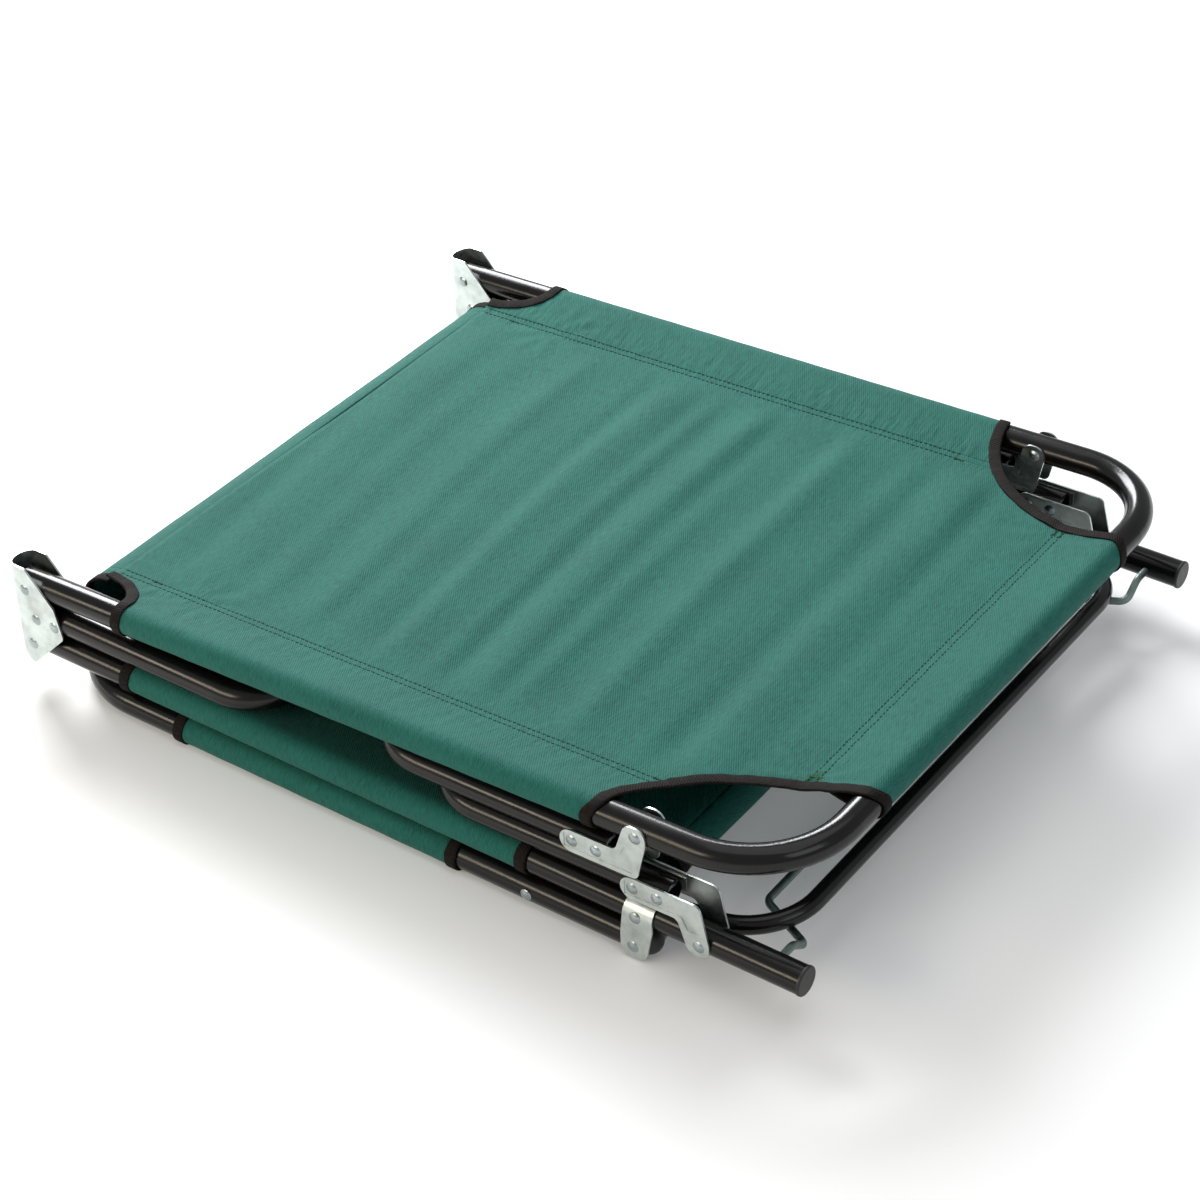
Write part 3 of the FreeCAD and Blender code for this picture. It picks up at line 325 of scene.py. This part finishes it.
class Panel:
    """One section's sleeping panel: sleeves along both tubes, curved cut-outs at its corners."""

    def __init__(self, name, body, place, left, sleeves, right, left_cut, right_cut,
                 bar, wave, phase, slant=0.0):
        self.name, self.body, self.place, self.slant = name, body, place, slant
        self.left, self.right, self.bar = left, right, bar
        self.start, self.end = sleeves
        self.left_cut, self.right_cut = left_cut, right_cut
        self.wave, self.phase = wave, phase

    def edge(self, x):
        """Half width of the cloth at x."""
        x = np.asarray(x, float)
        t = np.clip((x - self.left) / (self.start - self.left), 0, 1)
        low = HALF - self.left_cut * (1 - t ** CURVE) ** (1 / CURVE)
        t = np.clip((self.right - x) / (self.right - self.end), 0, 1)
        high = HALF - self.right_cut * (1 - t ** CURVE) ** (1 / CURVE)
        return np.minimum(low, high)

    def lean(self):
        """How far the sleeves' mouths step back, for columns round the tube and then under it."""
        round_tube = self.slant * smooth_step(0, math.pi / 2, math.pi / 2 - ANGLES)
        return np.concatenate([round_tube, np.full(len(UNDER), self.slant)])[None, :]

    def ripples(self, x, y):
        """Soft bands across the cot, dying out at the tubes, plus pulls off the seams."""
        p = self.phase
        # The bands' own direction: a little off square, and wandering.
        lean = x + 0.063 * y
        lean = lean + 9.0 * np.sin(lean / 61.0 + 2 * p) + 5.0 * np.sin(y / 95 + x / 160)
        bands = (0.46 * np.sin(lean / 14.5 + 0.5 * np.sin(y / 150 + p) + p)
                 + 0.30 * np.sin(lean / 7.3 + 0.7 * np.sin(y / 120 + 2 * p) + 2.1 * p)
                 + 0.09 * np.sin(lean / 4.3 + 1.1 * np.sin(y / 90) + 3 * p))
        # The bands grow away from the fold and stop short of the tubes and the crossbar.
        growth = 0.55 + 0.45 * smooth_step(self.left + 60, self.left + 330, x)
        side = smooth_step(42, 100, HALF - np.abs(y))
        far = smooth_step(46, 130, self.right - x) if self.bar else 1.0
        sag = -1.8 * (1 - (y / HALF) ** 2) * smooth_step(0, 90, x - self.left)
        # Fine puckers beside the side seams, the bar's seam and the bar-tacks.
        pulls = 0.30 * np.sin(x / 2.7 + 2.2 * np.sin(x / 23 + p) + np.abs(y) / 9)
        pulls = pulls * np.exp(-((HALF - np.abs(y) - 30) / 16) ** 2)
        if self.bar:
            pulls = pulls + 0.32 * (np.sin(y / 4.1 + 2.0 * np.sin(y / 19 + p) + x / 11)
                                    * np.exp(-((self.right - x - 52) / 20) ** 2))
        tacks = [(self.start + 34, HALF - SEAM)]
        if self.bar:
            tacks.append((self.right - SEAM, HALF - 102))
        for tack_x, tack_y in tacks:
            reach = np.hypot(x - tack_x, np.abs(y) - tack_y)
            angle = np.arctan2(np.abs(y) - tack_y, x - tack_x)
            pulls = pulls + 0.55 * np.sin(9 * angle + p) * np.exp(-((reach - 26) / 17) ** 2)
        return self.wave * (bands * growth * side * far) + sag * side * far + pulls

    def height(self, x, y):
        """Upper surface over the plan point (x, y)."""
        z = sleeve_height(HALF - np.abs(y))
        if self.bar:
            z = np.maximum(z, sleeve_height(self.right - x))
        on_tube = smooth_step(0.0, 6.0, z - 5.0)
        return z + self.ripples(x, y) * (1 - on_tube)

    def rows(self):
        """Row positions, closer together where the cut-outs curve."""
        turn = np.linspace(0, math.pi / 2, 15)
        first = self.left + (self.start - self.left) * np.sin(turn) ** (2 / CURVE)
        spacing = 4.0
        middle = np.linspace(self.start, self.end, int((self.end - self.start) / spacing))[1:-1]
        turn = np.linspace(math.pi / 2, 0, 40 if self.bar else 26)
        last = self.right - (self.right - self.end) * np.sin(turn) ** (2 / CURVE)
        return np.concatenate([first, middle, last])

    def build(self):
        """Mesh of the panel with its sleeves, welded along the tubes' top lines."""
        mesh = bmesh.new()
        flat = mesh.loops.layers.uv.new("flat")
        xs = self.rows()
        # Columns from side to side, closer together near the tubes.
        share = np.linspace(-1, 1, 141)
        share = share * (1.12 - 0.12 * np.abs(share) ** 2)
        share = np.clip(share / share.max(), -1, 1)
        grid_x = np.repeat(xs[:, None], len(share), 1)
        grid_y = self.edge(xs)[:, None] * share[None, :]
        top = np.stack([grid_x, grid_y, self.height(grid_x, grid_y)], 2)
        add_grid(mesh, flat, top, np.stack([grid_x, grid_y], 2))
        inside = xs[(xs >= self.start - 1e-6) & (xs <= self.end + 1e-6)]
        y, z, run = sleeve_grid(HALF, inside, 0.10, 7.0, 0.7)
        x = np.repeat(inside[:, None], y.shape[1], 1)
        x = x - self.lean() * smooth_step(self.end - 60, self.end, x)
        for side in (-1, 1):
            add_grid(mesh, flat, np.stack([x, side * y, z], 2), np.stack([x, side * run], 2))
        if self.bar:
            wide = HALF - self.right_cut
            x, z, run = sleeve_grid(self.right, wide * share, 0.12, 8.0, 0.6)
            y = np.repeat((wide * share)[:, None], x.shape[1], 1)
            y = y * (1 - self.lean() / wide)
            add_grid(mesh, flat, np.stack([x, y, z], 2), np.stack([run, y], 2))
        return finish_cloth(self.name, mesh, self.place, GREEN, weld=0.02, thick=CLOTH)


def sleeve_grid(axis, stations, slack, wave, step):
    """Cloth round a tube and back under it, a row for each station along the tube.

    Gives how far out each point is, its height, and how far it is across the flat cloth.
    """
    loose = slack + 0.10 * np.sin(stations[:, None] / wave + np.arange(len(ANGLES))[None, :] * step)
    loose = loose * np.sin(np.linspace(0, math.pi, len(ANGLES)))[None, :]
    out = axis + (WRAP + loose) * np.cos(ANGLES)[None, :]
    high = (WRAP + loose) * np.sin(ANGLES)[None, :]
    out = np.concatenate([out, np.repeat((axis - UNDER)[None, :], len(stations), 0)], 1)
    high = np.concatenate([high, np.repeat(-sleeve_height(UNDER)[None, :], len(stations), 0)], 1)
    run = np.concatenate([WRAP * (math.pi / 2 - ANGLES), math.pi * WRAP + UNDER])
    return out, high, np.repeat((axis + run)[None, :], len(stations), 0)


def add_grid(mesh, layer, points, flat):
    """Quads over a rows x columns array of points, with their flat coordinates in millimetres."""
    rows, columns = points.shape[:2]
    made = [[mesh.verts.new(Vector(points[i, j])) for j in range(columns)] for i in range(rows)]
    for i in range(rows - 1):
        for j in range(columns - 1):
            corners = ((i, j), (i + 1, j), (i + 1, j + 1), (i, j + 1))
            face = mesh.faces.new([made[a][b] for a, b in corners])
            face.smooth = True
            for loop, (a, b) in zip(face.loops, corners):
                loop[layer].uv = (flat[a, b, 0] * MM, flat[a, b, 1] * MM)


def finish_cloth(name, mesh, place, material, weld=None, thick=None):
    """Object from a mesh in a section's frame, welded within weld and given its thickness."""
    if weld:
        bmesh.ops.remove_doubles(mesh, verts=mesh.verts[:], dist=weld)
        bmesh.ops.recalc_face_normals(mesh, faces=mesh.faces[:])
    data = bpy.data.meshes.new(name)
    mesh.to_mesh(data)
    mesh.free()
    data.transform(place @ Matrix.Scale(MM, 4))
    data.materials.append(material)
    made = bpy.data.objects.new(name, data)
    bpy.context.scene.collection.objects.link(made)
    if thick:
        solid = made.modifiers.new("thickness", "SOLIDIFY")
        solid.thickness = thick * MM
        solid.offset = 0.0
    return made


def flat_area_of(made):
    """Area of the cut cloth, from its own flat coordinates."""
    uv = made.data.uv_layers["flat"].data
    total = 0.0
    for face in made.data.polygons:
        spots = [uv[i].uv for i in face.loop_indices]
        pairs = zip(spots, spots[1:] + spots[:1])
        total += abs(sum(a.x * b.y - b.x * a.y for a, b in pairs)) / 2
    return total


# --------------------------------------------------------------- bindings
# The tape's cross-section, folded over the cloth's edge: (into the cloth, above it).
TAPE_OUTLINE = [(8.4, 0.75), (7.6, 1.0), (0.2, 1.12), (-0.8, 0.85), (-1.25, 0.0),
                (-0.8, -0.85), (0.2, -1.12), (7.6, -1.0), (8.4, -0.75)]
TAPE_FLAT = [0, 1, 8, 9, 10, 11, 12, 20, 21, 22]        # how far round each corner is
TAPE_RADIUS = WRAP + 0.75       # tape's middle round a tube
TAPE_LIFT = 0.55                # and off the flat cloth
FLOOR_GAP = 0.0003              # metres kept under section C's tape


def sweep_tape(name, place, path, floor=None):
    """Folded tape along a path of (point, up, into the cloth), its run in the flat x."""
    mesh = bmesh.new()
    flat = mesh.loops.layers.uv.new("flat")
    points, runs, run, before = [], [], 0.0, None
    for point, up, into in path:
        point, up, into = Vector(point), Vector(up).normalized(), Vector(into)
        into = (into - up * into.dot(up)).normalized()
        run += (point - before).length if before is not None else 0.0
        before = point
        ring = []
        for k, (a, b) in enumerate(TAPE_OUTLINE):
            wobble = 0.16 * math.sin(run / 2.7 + k) + 0.10 * math.sin(run / 1.1 + 2 * k)
            ring.append(point + into * (a + wobble) + up * (b + 0.5 * wobble))
        ring.append(ring[0])
        points.append([list(p) for p in ring])
        runs.append(run)
    uv = [[(r, a) for a in TAPE_FLAT] for r in runs]
    add_grid(mesh, flat, np.array(points), np.array(uv))
    made = finish_cloth(name, mesh, place, TAPE, weld=0.01)
    if floor is not None:
        for vertex in made.data.vertices:
            vertex.co.z = max(vertex.co.z, floor)
    return made


def steps(start, end, count):
    """count + 1 even values from start to end."""
    return [start + (end - start) * i / count for i in range(count + 1)]


def lean_at(slant, turn):
    """How far a mouth steps back at an angle round the tube, in degrees down from its top."""
    return slant * float(smooth_step(0, math.pi / 2, math.radians(turn)))


def mouth_path(panel, side, at_end):
    """Round the sleeve's mouth at one end of a tube, from under the seam up to the top."""
    x = panel.end if at_end else panel.start
    into = (-1, 0, 0) if at_end else (1, 0, 0)
    back = panel.slant if at_end else 0.0
    path = []
    for d in steps(SEAM, 3, 12):
        low = -float(sleeve_height(d)) - TAPE_LIFT
        path.append(((x - back, side * (HALF - d), low), (0, 0, -1), into))
    for turn in steps(-90, 90, 20):
        c, s = math.cos(math.radians(turn)), math.sin(math.radians(turn))
        point = (x - lean_at(back, 90 - turn), side * (HALF + TAPE_RADIUS * c), TAPE_RADIUS * s)
        path.append((point, (0, side * c, s), into))
    return path


def cut_path(panel, side, at_end):
    """Along the curved cut-out on the upper layer."""
    path = []
    reach = (panel.right - panel.end) if at_end else (panel.start - panel.left)
    deep = panel.right_cut if at_end else panel.left_cut
    centre = panel.right if at_end else panel.left
    sign = -1 if at_end else 1
    power = 2 / CURVE
    for turn in steps(90, 0, 44)[1:]:
        s, c = math.sin(math.radians(turn)), max(math.cos(math.radians(turn)), 0)
        x = centre + sign * reach * s ** power
        d = deep * c ** power
        y = side * (HALF - d)
        slope = 0.26 if 3 < d < SEAM else 0.0
        over = TAPE_LIFT + 0.25 * (1 - min(d / 20, 1))
        z = float(panel.height(np.array(x), np.array(y))) + over
        into = (sign * s ** (2 - power) / reach, -side * c ** (2 - power) / deep, 0)
        path.append(((x, y, z), (0, -side * slope, 1), into))
    return path


def bar_path(panel, side):
    """Round the crossbar sleeve's mouth and back under it to the seam."""
    y = HALF - panel.right_cut
    into = (0, -side, 0)
    path = []
    for turn in steps(90, -90, 20)[1:]:
        c, s = math.cos(math.radians(turn)), math.sin(math.radians(turn))
        inset = lean_at(panel.slant, 90 - turn)
        point = (panel.right + TAPE_RADIUS * c, side * (y - inset), TAPE_RADIUS * s)
        path.append((point, (c, 0, s), into))
    y -= panel.slant
    for d in steps(3, SEAM, 12):
        low = -float(sleeve_height(d)) - TAPE_LIFT
        path.append(((panel.right - d, side * y, low), (0, 0, -1), into))
    return path


# ---------------------------------------------------------------- stitching
STITCH = (4.3, 3.1)     # pitch and length of a seam's stitches
TACK = (1.6, 1.8)       # and of a bar-tack's


def thread_ring(centre, aside, z, radius):
    """Closed six-sided ring round a thread at a plan point."""
    ring = []
    for k in range(6):
        turn = k * math.pi / 3
        q = centre + aside * radius * math.cos(turn)
        ring.append((q.x, q.y, z + radius * math.sin(turn)))
    return ring + ring[:1]


def add_thread(mesh, layer, rings, around, along):
    """Grid over a thread's rings, with its flat coordinates' steps."""
    flat = [[(k * around, j * along) for k in range(7)] for j in range(len(rings))]
    add_grid(mesh, layer, np.array(rings), np.array(flat))


def stitch_row(mesh, layer, start, end, height, gauge=STITCH):
    """Thread stitches from start to end in plan, each a small rounded bar lying on the cloth."""
    pitch, long = gauge
    start, end = Vector(start), Vector(end)
    along = (end - start).normalized()
    aside = Vector((-along.y, along.x))
    count = int((end - start).length / pitch)
    for i in range(count):
        middle = start + along * (i + 0.5) * pitch + aside * random.uniform(-0.18, 0.18)
        size = long * random.uniform(0.88, 1.05)
        rings = []
        for t, fat in ((-0.5, 0.10), (-0.38, 0.30), (0, 0.36), (0.38, 0.30), (0.5, 0.10)):
            p = middle + along * t * size
            z = float(height(np.array(p.x), np.array(p.y))) + CLOTH / 2 + 0.22 - 0.5 * abs(t) ** 2
            rings.append(thread_ring(p, aside, z, fat))
        add_thread(mesh, layer, rings, 0.4, 0.7)


def stitches_for(panel):
    """Two rows along each side seam and the bar's seam, with bar-tacks at their ends."""
    mesh = bmesh.new()
    layer = mesh.loops.layers.uv.new("flat")

    def reach(inboard):
        """Where a row meets the cut-outs' bindings."""
        xs = np.linspace(panel.left, panel.right, 2000)
        inside = xs[panel.edge(xs) > HALF - inboard + 5]
        return inside.min() + 4, inside.max() - 4

    for inboard in (SEAM - ROW_GAP, SEAM + ROW_GAP):
        first, last = reach(inboard)
        for side in (-1, 1):
            y = side * (HALF - inboard)
            stop = last - (26 if side > 0 and panel.bar else 0)
            stitch_row(mesh, layer, (first, y), (stop, y), panel.height)
            if inboard > SEAM:
                for at in (first + 30, stop - 9):
                    for k in range(4):
                        stitch_row(mesh, layer, (at, y + k * 0.7 - 1), (at + 9, y + 1 - k * 0.7),
                                   panel.height, TACK)
    if panel.bar:
        for inboard in (SEAM - ROW_GAP, SEAM + ROW_GAP):
            x = panel.right - inboard
            wide = float(panel.edge(x)) - 8
            stitch_row(mesh, layer, (x, -wide), (x, wide), panel.height)
            for side in (-1, 1):
                for k in range(5):
                    start, end = (x - 2 + k, side * wide), (x + 2 - k, side * (wide - 9))
                    stitch_row(mesh, layer, start, end, panel.height, TACK)
    return finish_cloth(panel.name + "_stitches", mesh, panel.place, THREAD)


def loose_threads(panel, tag, spot, count):
    """A few cut thread ends curling on the cloth beside a bar-tack."""
    mesh = bmesh.new()
    layer = mesh.loops.layers.uv.new("flat")
    for _ in range(count):
        heading = random.uniform(0, 2 * math.pi)
        bend = random.uniform(-0.5, 0.5)
        p = Vector(spot) + Vector((random.uniform(-4, 4), random.uniform(-4, 4)))
        rings = []
        length = random.randint(9, 17)
        for i in range(length):
            heading += bend + random.uniform(-0.25, 0.25)
            p = p + Vector((math.cos(heading), math.sin(heading))) * 1.1
            curl = 0.7 + 1.3 * math.sin(i / length * 3)
            z = float(panel.height(np.array(p.x), np.array(p.y))) + curl
            aside = Vector((-math.sin(heading), math.cos(heading)))
            rings.append(thread_ring(p, aside, z, 0.2))
        add_thread(mesh, layer, rings, 0.3, 1.0)
    return finish_cloth("%s_loose_threads_%s" % (panel.name, tag), mesh, panel.place, LOOSE)


# ----------------------------------------------------------------- assemble
FOLD_HALF = 247.0       # half width of the cloth at the fold between A and B
TURN_HALF = 218.0       # and at the turn between B and C
EDGE = 47.0             # A's and B's cloth starts this far from their pivots
TURN_EDGE = 549.0       # B's cloth ends here
panels = [
    Panel("cloth_a", "section_a", FRAME_A, EDGE, (91, 543), 689, 31, 96, True, 4.3, 0.6, slant=7.0),
    Panel("cloth_b", "section_b", FRAME_B, EDGE, (91, 476), TURN_EDGE, 31, 60, False, 1.4, 1.7),
    Panel("cloth_c", "section_c", FRAME_C, 21, (158, 428), 556, 60, 96, True, 1.2, 2.9),
]
# The CAD cloth that each panel stands for, and the tubes it is stretched on.
SLEEVED = {"cloth_a": ("fabric_a", ["frame_a"]),
           "cloth_b": ("fabric_b", ["mid_rail_near", "mid_rail_far"]),
           "cloth_c": ("fabric_c", ["frame_c"])}
for panel in panels:
    cloth = panel.build()
    extras = [stitches_for(panel)]
    floor = FLOOR_GAP if panel.body == "section_c" else None
    for side, tag in ((-1, "near"), (1, "far")):
        first = mouth_path(panel, side, False) + cut_path(panel, side, False)
        extras.append(sweep_tape("%s_tape_left_%s" % (panel.name, tag), panel.place, first, floor))
        last = mouth_path(panel, side, True) + cut_path(panel, side, True)
        if panel.bar:
            last += bar_path(panel, side)
        extras.append(sweep_tape("%s_tape_right_%s" % (panel.name, tag), panel.place, last, floor))
    if panel.name == "cloth_a":
        extras.append(loose_threads(panel, "near", (644, -176), 5))
        extras.append(loose_threads(panel, "far", (527, 232), 2))
    node, rests = SLEEVED[panel.name]
    for piece in [cloth] + extras:
        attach(piece, panel.body)
    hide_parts(node)
    round(flat_area_of(cloth), 4)


def turn_piece(name, place, centre, radii, from_turn, to_turn, half, shade):
    """Cloth round part of a fold, with the tape on both its edges."""
    turns = steps(math.radians(from_turn), math.radians(to_turn), 22)
    share = np.linspace(-1, 1, 97)

    def spot(turn, y):
        """Point of the cloth at an angle round the fold, rippled most at its middle."""
        ripple = shade * (math.sin(y / 31.0 + 1.3) + 0.6 * math.sin(y / 13.0 + 3 * turn))
        ripple *= math.sin(min(max(abs(math.cos(turn)), 0), 1) * math.pi / 2)
        return (centre[0] + (radii[0] + ripple) * math.cos(turn), y,
                centre[1] + radii[1] * math.sin(turn))

    grid = np.array([[spot(t, half * s) for s in share] for t in turns])
    run = radii[0] * (np.array(turns) - turns[0])
    flat = np.stack([np.repeat(run[:, None], len(share), 1),
                     np.repeat(half * share[None, :], len(turns), 0)], 2)
    mesh = bmesh.new()
    layer = mesh.loops.layers.uv.new("flat")
    add_grid(mesh, layer, grid, flat)
    cloth = finish_cloth(name, mesh, place, GREEN, thick=CLOTH)
    made = [cloth]
    for side, tag in ((-1, "near"), (1, "far")):
        path = [(spot(t, side * half), (math.cos(t), 0, math.sin(t)), (0, -side, 0)) for t in turns]
        made.append(sweep_tape("%s_tape_%s" % (name, tag), place, path))
    for piece in made:
        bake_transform(piece)
    return cloth


# Fold between sections A and B: A's edge is a little higher, because A is pitched.
edge_high = FOLD_RISE + EDGE * math.sin(math.radians(PITCH_A))
lift, drop = (float(panel.height(np.array(EDGE), np.array(0.0))) for panel in panels[:2])
middle = (edge_high + lift + drop) / 2
high = (edge_high + lift - drop) / 2
bulge = 27.5
upper = turn_piece("cloth_fold_upper", FRAME_B, (EDGE, middle), (bulge, high), 90, 180, FOLD_HALF,
                   0.35)
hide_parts("fabric_fold")
turn_piece("cloth_fold_lower", FRAME_B, (EDGE, middle), (bulge, high), 180, 270, FOLD_HALF,
           0.35)
radius = TURN_DROP / 2
turned_cloth = turn_piece("cloth_turn", FRAME_B, (TURN_EDGE, -radius), (radius, radius), 90, -90,
                          TURN_HALF,
                          0.2)
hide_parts("fabric_turn")


# ------------------------------------------------------------ floor and light
def floor_material():
    """Pale matt floor with a slight glow, as under a lit studio backdrop."""
    material, tree, shader = new_material("pale_floor")
    tint = ramp(tree, noise_of(tree, 3, 4, 0.5),
                [(0.3, (0.76, 0.76, 0.757)), (0.7, (0.80, 0.80, 0.797))])
    tree.links.new(tint, shader.inputs["Base Color"])
    shader.inputs["Emission Color"].default_value = (1, 1, 1, 1)
    shader.inputs["Emission Strength"].default_value = 0.12
    shader.inputs["Roughness"].default_value = 0.65
    return material


mesh = bmesh.new()
bmesh.ops.create_grid(mesh, x_segments=40, y_segments=40, size=6.0)
data = bpy.data.meshes.new("floor")
mesh.to_mesh(data)
mesh.free()
data.materials.append(floor_material())
floor = bpy.data.objects.new("floor", data)
bpy.context.scene.collection.objects.link(floor)

scene = bpy.context.scene
world = bpy.data.worlds.new("studio")
scene.world = world
world.use_nodes = True
background = world.node_tree.nodes["Background"]
background.inputs["Color"].default_value = (0.93, 0.96, 1.0, 1)
background.inputs["Strength"].default_value = 0.42


def softbox(name, at, aim, size, power, colour):
    """Rectangular light at a point, turned to face another."""
    light = bpy.data.lights.new(name, "AREA")
    light.shape = "RECTANGLE"
    light.size, light.size_y = size
    light.energy = power
    light.color = colour
    made = bpy.data.objects.new(name, light)
    made.location = at
    made.rotation_euler = (Vector(aim) - Vector(at)).to_track_quat("-Z", "Y").to_euler()
    scene.collection.objects.link(made)


softbox("key", (-1.75, 1.25, 1.5), (0, 0, 0.05), (1.6, 1.0), 112, (0.97, 0.985, 1.0))
softbox("overhead", (0.3, 0.1, 2.4), (0, 0, 0.05), (2.4, 2.4), 17, (1.0, 1.0, 1.0))
softbox("side", (-0.9, -1.9, 0.85), (0, 0, 0.05), (1.7, 0.42), 20, (1.0, 0.87, 0.66))
softbox("fill", (2.2, -0.6, 1.4), (0, 0, 0.1), (1.2, 1.0), 6, (0.95, 0.98, 1.0))

# ------------------------------------------------------------------ camera
# Fitted to the photo: angles in degrees, focal length in pixels of the whole frame.
AZIMUTH, ELEVATION, ROLL, FOCUS = 36.567, 36.303, -1.986, 2999.4
FRAME_PIXELS, SENSOR = 1200, 36.0
az, el, roll = (math.radians(v) for v in (AZIMUTH, ELEVATION, ROLL))
forward = Vector((-math.sin(az) * math.cos(el), math.cos(az) * math.cos(el), -math.sin(el)))
level = forward.cross(Vector((0, 0, 1))).normalized()
above = level.cross(forward)
right = level * math.cos(roll) + above * math.sin(roll)
up = above * math.cos(roll) - level * math.sin(roll)
camera_data = bpy.data.cameras.new("camera")
camera_data.sensor_width = SENSOR
camera_data.lens = FOCUS / FRAME_PIXELS * SENSOR
camera = bpy.data.objects.new("camera", camera_data)
turned = Matrix((right, up, -forward)).transposed().to_4x4()
camera.matrix_world = Matrix.Translation((1.13127, -1.53408, 1.44102)) @ turned
scene.collection.objects.link(camera)
scene.camera = camera
scene.view_settings.view_transform = "Standard"
scene.view_settings.exposure = 0.0
